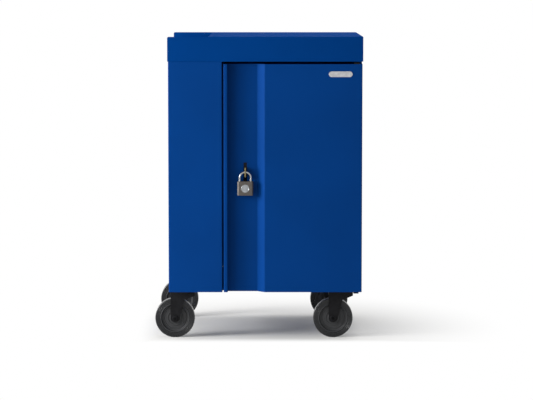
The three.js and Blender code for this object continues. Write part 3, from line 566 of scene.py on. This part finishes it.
class CART_OT_fittings(bpy.types.Operator):
    """Brackets, hinge, catch, inlet, switch, locks and hasp with softened edges"""
    bl_idname = "cart.fittings"
    bl_label = "Fittings"
    NODES = (
        "lower_hinge_bracket", "upper_hinge_bracket", "rear_hinge", "magnetic_catch", "rear_lock")
    HASP_BASE = 2.5 * MM
    BEZEL_OUTER = 1.4 * MM
    BEZEL_INNER = 1.8 * MM

    def execute(self, context):
        edge = context.scene.cart_sizes.small_edge
        for node in self.NODES:
            soften(node, edge)
        # The lock tongue gets the black coat as painted shade, so it reads dark in its slot.
        soften("lock_tongue", edge, "dark_steel")
        soften("power_inlet", edge, "grey_plastic")
        soften("power_switch", edge, "switch_plastic")
        self.hasp(edge)
        self.rear_lock_bezel(context.scene.cart_sizes.round_steps)
        return {"FINISHED"}

    def hasp(self, edge):
        """The brass eye; its base behind the door gets the black coat as painted shade, so the slot above
        the tab reads dark.
        """
        base_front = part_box("hasp_eye")[1].y - self.HASP_BASE
        # The part behind the door takes the black coat as painted shade for the dark slot.
        for name, slot, behind in (("hasp_tab", "brass", False), ("hasp_base", "dark_steel", True)):
            build = rounded_copy("hasp_eye", edge)
            whole = [*build.verts, *build.edges, *build.faces]
            halved = bmesh.ops.bisect_plane(
                build, geom=whole, dist=MM / 1000, plane_co=(0, base_front, 0), plane_no=BACK,
                clear_outer=not behind, clear_inner=behind)
            rim = [e for e in halved["geom_cut"] if isinstance(e, bmesh.types.BMEdge)]
            bmesh.ops.holes_fill(build, edges=rim)
            add_piece(name, build, "front_door", slot, stands_for=() if behind else ("hasp_eye",))

    def rear_lock_bezel(self, steps):
        """A turned ring round the rear lock, on the rear door's face."""
        low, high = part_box("rear_lock")
        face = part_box("rear_door")[1].y
        radius = (high.x - low.x) / 2
        centre = Vector(((low.x + high.x) / 2, face, low.z + radius))
        build = bmesh.new()
        ring = [
            (radius * 1.08, 0), (radius * 1.5, 0),
            (radius * 1.42, self.BEZEL_OUTER), (radius * 1.08, self.BEZEL_INNER)]
        turn(build, ring, axis_place(centre, BACK), steps, closed=True)
        add_piece("rear_lock_bezel", build, "rear_door", "zinc_steel")


class CART_OT_casters(bpy.types.Operator):
    """Turned tyres and wheel cores, pressed forks, plates with bolts, and axle bolts"""
    bl_idname = "cart.casters"
    bl_label = "Casters"
    SHOULDER = 2.5 * MM
    GROOVE = 0.7 * MM
    GROOVE_INSETS = (11 * MM, 8 * MM, 5 * MM)
    BEAD = 1.2 * MM
    BEAD_GAP = 0.1 * MM
    CORE_ROUND = 1.6 * MM
    BORE_SHARE = 0.1
    SHANK = 5 * MM
    HEAD_HEIGHT = 5 * MM
    BOLT_INSET = 8 * MM
    BOLT_HEIGHT = 6 * MM
    PLATE_SHEET = 3 * MM

    def execute(self, context):
        sizes = context.scene.cart_sizes
        for corner in CORNERS:
            node = f"caster_{corner}"
            soften(f"{node}_plate", sizes.small_edge)
            soften(f"{node}_fork", sizes.sheet_edge)
            self.tyre(node, sizes.round_steps)
            self.core(node, sizes.round_steps)
            self.axle(node, sizes.axle_head)
            self.plate_bolts(node, sizes.bolt_head)
        return {"FINISHED"}

    def wheel_place(self, node):
        """The wheel's middle with its axle along the cart's depth, its radius and half width."""
        low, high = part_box(f"{node}_tyre")
        radius = (high.z - low.z) / 2
        return axis_place((low + high) / 2, -BACK), radius, (high.y - low.y) / 2

    def tyre(self, node, steps):
        """A tyre with a rounded shoulder and three fine grooves in each sidewall."""
        place, radius, half = self.wheel_place(node)
        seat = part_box(f"{node}_core")[1].z - place.translation.z + self.BEAD_GAP
        upper = [(seat, half - self.BEAD), (seat + self.BEAD, half)]
        for line in (radius - inset for inset in self.GROOVE_INSETS):
            upper += [(line - self.GROOVE, half), (line, half - self.GROOVE), (line + self.GROOVE, half)]
        upper += arc((radius - self.SHOULDER, half - self.SHOULDER), self.SHOULDER, 90, 12, 6)
        upper += [(radius, half - 2 * self.SHOULDER), (radius, 0)]
        lower = [(r, -h) for r, h in reversed(upper[:-1])]
        build = bmesh.new()
        turn(build, upper + lower, place, steps, closed=True)
        add_piece(f"{node}_tyre_moulded", build, BODY_OF[f"{node}_tyre"], "tyre_rubber",
                  stands_for=(f"{node}_tyre",))

    def core(self, node, steps):
        """A dished wheel core with a rolled rim, two moulded rings and a stepped hub."""
        place, _, half = self.wheel_place(node)
        low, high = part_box(f"{node}_core")
        rim = (high.z - low.z) / 2
        hub_end = (high.y - low.y) / 2
        axle_low, axle_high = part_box(f"{node}_axle")
        bore = (axle_high.y - axle_low.y) * self.BORE_SHARE
        step = self.CORE_ROUND
        upper = [(bore, hub_end), (rim * 0.26, hub_end)]
        upper += arc((rim * 0.26, hub_end - step), step, 90, 0, 3)
        upper += [
            (rim * 0.30, half - 4 * MM), (rim * 0.34, half - 6 * MM), (rim * 0.44, half - 6.5 * MM),
            (rim * 0.46, half - 5 * MM), (rim * 0.52, half - 5 * MM), (rim * 0.54, half - 7 * MM),
            (rim * 0.70, half - 7.4 * MM), (rim * 0.72, half - 6 * MM), (rim * 0.77, half - 6 * MM),
            (rim * 0.79, half - 7.4 * MM), (rim * 0.86, half - 6 * MM), (rim * 0.90, half - step)]
        upper += [(rim * 0.93, half), (rim - step, half), (rim, half - step)]
        lower = [(r, -h) for r, h in reversed(upper)]
        build = bmesh.new()
        turn(build, upper + lower, place, steps, closed=True)
        add_piece(f"{node}_core_moulded", build, BODY_OF[f"{node}_core"], "grey_plastic",
                  stands_for=(f"{node}_core",))

    def axle(self, node, flats):
        """A bolt through the fork: a shank with a hexagon head at each end, one standing for the nut."""
        low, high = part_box(f"{node}_axle")
        middle = (low + high) / 2
        half = (high.y - low.y) / 2
        fork_half = half - self.HEAD_HEIGHT
        shank = [(0, -half), (self.SHANK, -half), (self.SHANK, half), (0, half)]
        build = bmesh.new()
        turn(build, shank, axis_place(middle, BACK), 24)
        for way in (-BACK, BACK):
            hex_head(build, axis_place(middle + way * fork_half, way), flats, half - fork_half)
        add_piece(f"{node}_axle_bolt", build, BODY_OF[f"{node}_axle"], "zinc_steel", "dark_steel",
                  stands_for=(f"{node}_axle",))

    def plate_bolts(self, node, flats):
        """Four bolt heads under the corners of the caster plate."""
        low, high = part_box(f"{node}_plate")
        inset = self.BOLT_INSET
        under = high.z - self.PLATE_SHEET
        build = bmesh.new()
        for x in (low.x + inset, high.x - inset):
            for y in (low.y + inset, high.y - inset):
                hex_head(build, axis_place(Vector((x, y, under)), -UP), flats, self.BOLT_HEIGHT)
        add_piece(f"{node}_plate_bolts", build, BODY_OF[f"{node}_plate"], "dark_steel")


class CART_OT_padlock(bpy.types.Operator):
    """Padlock: round bar shackle, rounded body with leg collars, ringed face disc and key plug"""
    bl_idname = "cart.padlock"
    bl_label = "Padlock"
    BAR_SIDES = 24
    CROWN_STEPS = 32
    TOE_DEPTH = 9 * MM
    UPRIGHT_ROUND = 4 * MM
    RIM_ROUND = 1.2 * MM
    COLLAR_SUNK = 0.4 * MM
    COLLAR_RISE = 0.5 * MM
    DISC_SUNK = 0.2 * MM

    def execute(self, context):
        steps = context.scene.cart_sizes.round_steps
        self.shackle()
        self.body()
        self.disc(steps)
        soften("padlock_key_plug", context.scene.cart_sizes.small_edge)
        return {"FINISHED"}

    def shackle(self):
        """The bent bar, swept along its two legs and the half circle of its crown."""
        low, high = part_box("padlock_shackle")
        bar = (high.y - low.y) / 2
        radius = (high.x - low.x) / 2 - bar
        middle = Vector(((low.x + high.x) / 2, (low.y + high.y) / 2, high.z - bar - radius))
        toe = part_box("padlock_body")[1].z - self.TOE_DEPTH
        crown = [math.pi - math.pi * i / self.CROWN_STEPS for i in range(self.CROWN_STEPS + 1)]
        path = [Vector((middle.x - radius, middle.y, low.z))]
        path += [middle + radius * Vector((math.cos(a), 0, math.sin(a))) for a in crown]
        path += [Vector((middle.x + radius, middle.y, toe))]
        build = bmesh.new()
        angles = [math.tau * k / self.BAR_SIDES for k in range(self.BAR_SIDES)]
        sweep(build, path, lambda ahead: (ahead.cross(BACK), BACK), bar, angles)
        add_piece("padlock_shackle_bar", build, "padlock_shackle", "polished_steel",
                  stands_for=("padlock_shackle",))

    def body(self):
        """The lock case: large rounded uprights, small rounded rims and a collar round each leg."""
        low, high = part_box("padlock_body")
        build = bmesh.new()
        place = Matrix.Translation((low + high) / 2) @ Matrix.Diagonal((*(high - low), 1))
        bmesh.ops.create_cube(build, size=1, matrix=place)
        uprights = [e for e in build.edges if abs((e.verts[0].co - e.verts[1].co).z) > MM]
        round_edges(build, uprights, self.UPRIGHT_ROUND, 1)
        rims = [e for e in sharp_edges(build) if abs((e.verts[0].co - e.verts[1].co).z) < MM]
        round_edges(build, rims, self.RIM_ROUND, 3)
        shackle_low, shackle_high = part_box("padlock_shackle")
        bar = (shackle_high.y - shackle_low.y) / 2
        collar = [
            (bar * 1.16, -self.COLLAR_SUNK), (bar * 1.6, -self.COLLAR_SUNK),
            (bar * 1.5, self.COLLAR_RISE), (bar * 1.16, self.COLLAR_RISE)]
        for x in (shackle_low.x + bar, shackle_high.x - bar):
            centre = Vector((x, (low.y + high.y) / 2, high.z))
            turn(build, collar, axis_place(centre, UP), 32, closed=True)
        add_piece("padlock_case", build, "padlock_body", "zinc_steel", "lock_plate", ("padlock_body",))

    def disc(self, steps):
        """A plain face disc with a raised rim and a shallow dish."""
        low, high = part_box("padlock_disc")
        radius = (high.z - low.z) / 2
        centre = Vector(((low.x + high.x) / 2, high.y + self.DISC_SUNK, (low.z + high.z) / 2))
        rise = high.y - low.y + self.DISC_SUNK
        profile = [
            (0, 0), (radius, 0), (radius, rise * 0.7), (radius * 0.95, rise), (radius * 0.86, rise),
            (radius * 0.82, rise * 0.62), (radius * 0.5, rise * 0.55), (0, rise * 0.5)]
        build = bmesh.new()
        turn(build, profile, axis_place(centre, -BACK), steps)
        add_piece("padlock_face", build, "padlock_body", "polished_steel", stands_for=("padlock_disc",))


class CART_OT_handle(bpy.types.Operator):
    """Push handle: a tube with a ribbed sleeve and end collars"""
    bl_idname = "cart.handle"
    bl_label = "Push handle"
    COLLAR = 9 * MM
    END_GAP = 0.2 * MM

    def execute(self, context):
        sizes = context.scene.cart_sizes
        pitch = sizes.grip_pitch
        low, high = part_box("push_handle")
        radius = (high.z - low.z) / 2
        flange = radius * 1.12
        neck = radius * 0.94
        sleeve = radius * 0.97
        crest = sleeve + sizes.grip_rib
        span = high.y - low.y - 2 * self.END_GAP
        profile = [(0, 0), (flange, 0), (flange, self.COLLAR), (neck, self.COLLAR)]
        for i in range(int((span - 6 * self.COLLAR) / pitch)):
            at = 3 * self.COLLAR + i * pitch
            profile += [
                (sleeve, at), (crest, at + 0.25 * pitch),
                (crest, at + 0.55 * pitch), (sleeve, at + 0.8 * pitch)]
        profile += [(neck, span - self.COLLAR), (flange, span - self.COLLAR), (flange, span), (0, span)]
        build = bmesh.new()
        centre = Vector(((low.x + high.x) / 2, low.y + self.END_GAP, (low.z + high.z) / 2))
        turn(build, profile, axis_place(centre, BACK), 40)
        add_piece("push_handle_sleeve", build, "cabinet", "black_plastic", stands_for=("push_handle",))
        return {"FINISHED"}


class CART_OT_name_plate(bpy.types.Operator):
    """Bare pill-shaped plate on the door, with a raised rim round a flat field"""
    bl_idname = "cart.name_plate"
    bl_label = "Name plate"
    RIM = 1.0 * MM
    RIM_FOOT = 1.3 * MM
    END_STEPS = 16

    def execute(self, context):
        low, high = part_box("name_plate")
        radius = (high.z - low.z) / 2
        half = (high.x - low.x) / 2 - radius
        middle = (low + high) / 2
        depth = high.y - low.y
        build = bmesh.new()
        loops = [
            (0.0, 0.0), (0.0, 0.75 * depth), (0.25 * depth, depth),
            (self.RIM, depth), (self.RIM_FOOT, 0.72 * depth)]
        loft(build, [
            self.pill(build, middle, high.y, half, radius - inset, rise) for inset, rise in loops])
        add_piece("name_plate_bare", build, "front_door", "plate_silver", stands_for=("name_plate",))
        return {"FINISHED"}

    def pill(self, build, middle, back, half, radius, rise):
        """One ring of points round the plate at a height over the door."""
        points = []
        for side in (1, -1):
            for i in range(self.END_STEPS + 1):
                bend = math.pi * (i / self.END_STEPS - 0.5)
                points.append(build.verts.new((
                    middle.x + side * (half + radius * math.cos(bend)),
                    back - rise,
                    middle.z + side * radius * math.sin(bend))))
        return points


class CART_OT_interior(bpy.types.Operator):
    """Divider edging, outlet strip with its outlets, and the sill strip under the rear door"""
    bl_idname = "cart.interior"
    bl_label = "Interior"
    SILL_ENDS = 2 * MM
    SILL_BACK = 1 * MM
    SILL_FRONT = 5 * MM
    SILL_PLAY = 0.4 * MM
    SILL_ROUND = 0.4 * MM
    DIVIDER_CORNER = 60 * MM
    CORNER_STEPS = 12
    EDGING_ENDS = 2 * MM
    EDGING_SIDES = 8
    BEZEL_HALF = Vector((0, 17 * MM, 15 * MM))
    BEZEL_RISE = 1.6 * MM
    BEZEL_SUNK = 1 * MM
    CONTACTS = ((-6, 3, 5), (6, 3, 5), (0, -6, 3))
    CONTACT_HALF = 1.2 * MM
    CONTACT_RISE = 1.7 * MM
    CONTACT_DEPTH = 0.6 * MM
    CONTACT_ROUND = 0.2 * MM

    def execute(self, context):
        sizes = context.scene.cart_sizes
        for level in ("lower", "upper"):
            self.edging(level, sizes.edging)
        self.outlet_strip(sizes.outlets, sizes.small_edge)
        self.sill(sizes.rear_gap)
        return {"FINISHED"}

    def sill(self, gap):
        """Rubber strip on the floor under the rear door's lower edge."""
        low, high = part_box("rear_door")
        build = bmesh.new()
        brick(
            build, Vector((low.x + self.SILL_ENDS, high.y - self.SILL_FRONT, low.z - gap)),
            Vector((high.x - self.SILL_ENDS, high.y - self.SILL_BACK, low.z - self.SILL_PLAY)),
            self.SILL_ROUND)
        add_piece("rear_sill_strip", build, "cabinet", "tyre_rubber")

    def edging(self, level, width):
        """Rubber edging round the front and top of each divider of a level."""
        nodes = [n for n in frame["nodes"] if n.startswith(f"divider_{level}_")]
        build = bmesh.new()
        corner = self.DIVIDER_CORNER
        bend = [math.pi - math.pi / 2 * i / self.CORNER_STEPS for i in range(self.CORNER_STEPS + 1)]
        angles = [math.tau * (k + 0.5) / self.EDGING_SIDES for k in range(self.EDGING_SIDES)]
        for node in sorted(nodes):
            low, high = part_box(node)
            centre = Vector(((low.x + high.x) / 2, low.y + corner, high.z - corner))
            path = [Vector((centre.x, low.y, low.z + self.EDGING_ENDS))]
            path += [centre + corner * Vector((0, math.cos(a), math.sin(a))) for a in bend]
            path += [Vector((centre.x, high.y - self.EDGING_ENDS, high.z))]
            sweep(build, path, lambda ahead: (RIGHT, RIGHT.cross(ahead)), width / 2, angles)
        add_piece(f"divider_edging_{level}", build, "cabinet", "tyre_rubber")

    def outlet_strip(self, count, edge):
        """The strip's case with a row of outlet bezels, each with three contact slots."""
        soften("outlet_strip", 3 * edge)
        low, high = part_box("outlet_strip")
        pitch = (high.z - low.z) / (count + 1)
        bezels = bmesh.new()
        slots = bmesh.new()
        for i in range(count):
            spot = Vector((low.x, (low.y + high.y) / 2, low.z + (i + 1) * pitch))
            brick(
                bezels, spot - self.BEZEL_RISE * RIGHT - self.BEZEL_HALF,
                spot + self.BEZEL_SUNK * RIGHT + self.BEZEL_HALF, 2 * edge)
            for dy, dz, tall in self.CONTACTS:
                half = Vector((0, self.CONTACT_HALF, tall * MM))
                mouth = spot + Vector((-self.CONTACT_RISE, dy * MM, dz * MM))
                brick(
                    slots, mouth - half, mouth + half + self.CONTACT_DEPTH * RIGHT, self.CONTACT_ROUND, 1)
        add_piece("outlet_bezels", bezels, "cabinet", "grey_plastic")
        add_piece("outlet_slots", slots, "cabinet", "black_plastic")


class CART_OT_screws(bpy.types.Operator):
    """Button-head screws on the rear panel, the hinge brackets and both side panels"""
    bl_idname = "cart.screws"
    bl_label = "Screws"
    REAR_INSET = 12 * MM
    REAR_HINGE_INSET = 2.4 * REAR_INSET
    REAR_ROWS = 4
    TAB_SHEET = 2 * MM
    TAB_INSET = 9 * MM
    SIDE_COLUMNS = (-0.18, 0.0, 0.18)
    SIDE_TOP = 14 * MM
    SIDE_FOOT = 8 * MM

    def execute(self, context):
        head = context.scene.cart_sizes.screw_head
        screws("rear_panel_screws", self.rear_places(), "cabinet", head)
        screws("hinge_bracket_screws", self.bracket_places(), "cabinet", 0.8 * head)
        screws("side_panel_screws", self.side_places(), "cabinet", head)
        return {"FINISHED"}

    def rear_places(self):
        """Two columns of screws down the rear panel."""
        low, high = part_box("rear_panel")
        inset = self.REAR_INSET
        step = (high.z - low.z - 2 * inset) / (self.REAR_ROWS - 1)
        columns = (low.x + inset, high.x - self.REAR_HINGE_INSET)
        rows = [low.z + inset + step * i for i in range(self.REAR_ROWS)]
        return [(Vector((x, high.y, z)), BACK) for x in columns for z in rows]

    def bracket_places(self):
        """One screw in the upright tab of each hinge bracket."""
        places = []
        for node, upper in (("lower_hinge_bracket", False), ("upper_hinge_bracket", True)):
            low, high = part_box(node)
            z = low.z + self.TAB_INSET if upper else high.z - self.TAB_INSET
            places.append((Vector(((low.x + high.x) / 2, high.y - self.TAB_SHEET, z)), -BACK))
        return places

    def side_places(self):
        """A row of screws under the lid and one along the foot of each side panel."""
        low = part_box("left_panel")[0]
        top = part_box("top_lid")[0].z - self.SIDE_TOP
        foot = low.z + self.SIDE_FOOT
        sides = ((low.x, -RIGHT), (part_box("right_panel")[1].x, RIGHT))
        return [
            (Vector((x, y, z)), way) for x, way in sides for y in self.SIDE_COLUMNS for z in (top, foot)]


class CART_OT_stage(bpy.types.Operator):
    """Pale floor, soft studio light, white surroundings and the camera"""
    bl_idname = "cart.stage"
    bl_label = "Stage"
    LAMPS = {
        "key": (Vector((-2.3, -1.75, 1.15)), 1.6),
        "side": (Vector((-2.5, -0.95, 0.95)), 1.0),
        "top": (Vector((0.3, 0.5, 2.8)), 2.6),
    }
    LAMP_AIM = Vector((0.0, 0.0, 0.45))
    FLOOR_SIZE = 600
    CAMERA_REACH = 1000
    WHITE = (1, 1, 1, 1)

    def execute(self, context):
        stage = context.scene.cart_stage
        self.floor(stage)
        self.world(context.scene, stage)
        for name, (place, size) in self.LAMPS.items():
            self.lamp(name, place, size, getattr(stage, name))
        self.camera(context.scene, stage)
        context.scene.view_settings.view_transform = "Standard"
        return {"FINISHED"}

    def floor(self, stage):
        """A pale floor that keeps the shadow near the cart and turns white away from it."""
        bpy.ops.mesh.primitive_plane_add(size=self.FLOOR_SIZE)
        floor = bpy.context.object
        floor.name = "studio_floor"
        material = bpy.data.materials.new("studio_floor")
        material.use_nodes = True
        finish = Finish(material.node_tree)
        point = finish.node("ShaderNodeNewGeometry", output="Position")
        reach = finish.node("ShaderNodeVectorMath", {"operation": "LENGTH"}, {0: point}, "Value")
        share = finish.band(reach, stage.near, stage.far)
        for axis, start in (("X", stage.left), ("Y", stage.front)):
            ahead = 0 - finish.node("ShaderNodeSeparateXYZ", None, {"Vector": point}, axis)
            share = finish.larger(share, finish.band(ahead, start, start + stage.fade))
        paper = finish.node("ShaderNodeBsdfDiffuse", None, {"Color": opaque(stage.floor)})
        white = finish.node("ShaderNodeEmission", None, {"Color": self.WHITE, "Strength": 1.0})
        mixed = finish.node("ShaderNodeMixShader", None, {0: finish.seen() * share, 1: paper, 2: white})
        finish.node("ShaderNodeOutputMaterial", None, {"Surface": mixed})
        floor.data.materials.append(material)

    def world(self, scene, stage):
        """White surroundings that light the cart less than they show."""
        world = bpy.data.worlds.new("studio")
        world.use_nodes = True
        scene.world = world
        finish = Finish(world.node_tree)
        strength = finish.seen() * (1 - stage.ambient) + stage.ambient
        sky = finish.node("ShaderNodeBackground", None, {"Color": self.WHITE, "Strength": strength})
        finish.node("ShaderNodeOutputWorld", None, {"Surface": sky})

    def lamp(self, name, place, size, watts):
        """A round area light aimed at the cart."""
        light = bpy.data.lights.new(name, "AREA")
        light.shape = "DISK"
        light.size = size
        light.energy = watts
        lamp = bpy.data.objects.new(name, light)
        lamp.location = place
        lamp.rotation_euler = (self.LAMP_AIM - place).to_track_quat("-Z", "Y").to_euler()
        bpy.context.scene.collection.objects.link(lamp)

    def camera(self, scene, stage):
        """The camera, with its focal length from pixels, its place and its tilt."""
        data = bpy.data.cameras.new("camera")
        data.sensor_fit = "HORIZONTAL"
        data.lens = data.sensor_width * stage.focal_pixels / stage.image_width
        data.clip_end = self.CAMERA_REACH
        camera = bpy.data.objects.new("camera", data)
        camera.location = stage.eye
        camera.rotation_euler = (math.pi / 2 - stage.pitch, 0, stage.yaw)
        scene.collection.objects.link(camera)
        scene.camera = camera


class CART_PT_panel(bpy.types.Panel):
    """Lists the cart's operators and settings"""
    bl_idname = "CART_PT_panel"
    bl_label = "Laptop charging cart"
    bl_space_type = "VIEW_3D"
    bl_region_type = "UI"
    bl_category = "Cart"

    def draw(self, context):
        for operator in OPERATORS:
            self.layout.operator(operator.bl_idname)
        for group in (context.scene.cart_colours, context.scene.cart_sizes, context.scene.cart_stage):
            box = self.layout.box()
            for key in group.__annotations__:
                box.prop(group, key)


GROUPS = {"cart_colours": CartColours, "cart_sizes": CartSizes, "cart_stage": CartStage}
OPERATORS = (
    CART_OT_stage, CART_OT_cabinet, CART_OT_fittings, CART_OT_casters, CART_OT_padlock, CART_OT_handle,
    CART_OT_name_plate, CART_OT_interior, CART_OT_screws)
CLASSES = (*GROUPS.values(), *OPERATORS, CART_PT_panel)


def register():
    for entry in CLASSES:
        bpy.utils.register_class(entry)
    for key, group in GROUPS.items():
        setattr(bpy.types.Scene, key, PointerProperty(type=group))


def unregister():
    for key in GROUPS:
        delattr(bpy.types.Scene, key)
    for entry in reversed(CLASSES):
        bpy.utils.unregister_class(entry)


def main():
    """Registers the add-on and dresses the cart."""
    register()
    bpy.ops.cart.stage()
    bpy.ops.cart.cabinet()
    bpy.ops.cart.fittings()
    bpy.ops.cart.casters()
    bpy.ops.cart.padlock()
    bpy.ops.cart.handle()
    bpy.ops.cart.name_plate()
    bpy.ops.cart.interior()
    bpy.ops.cart.screws()


if __name__ == "__main__":
    main()
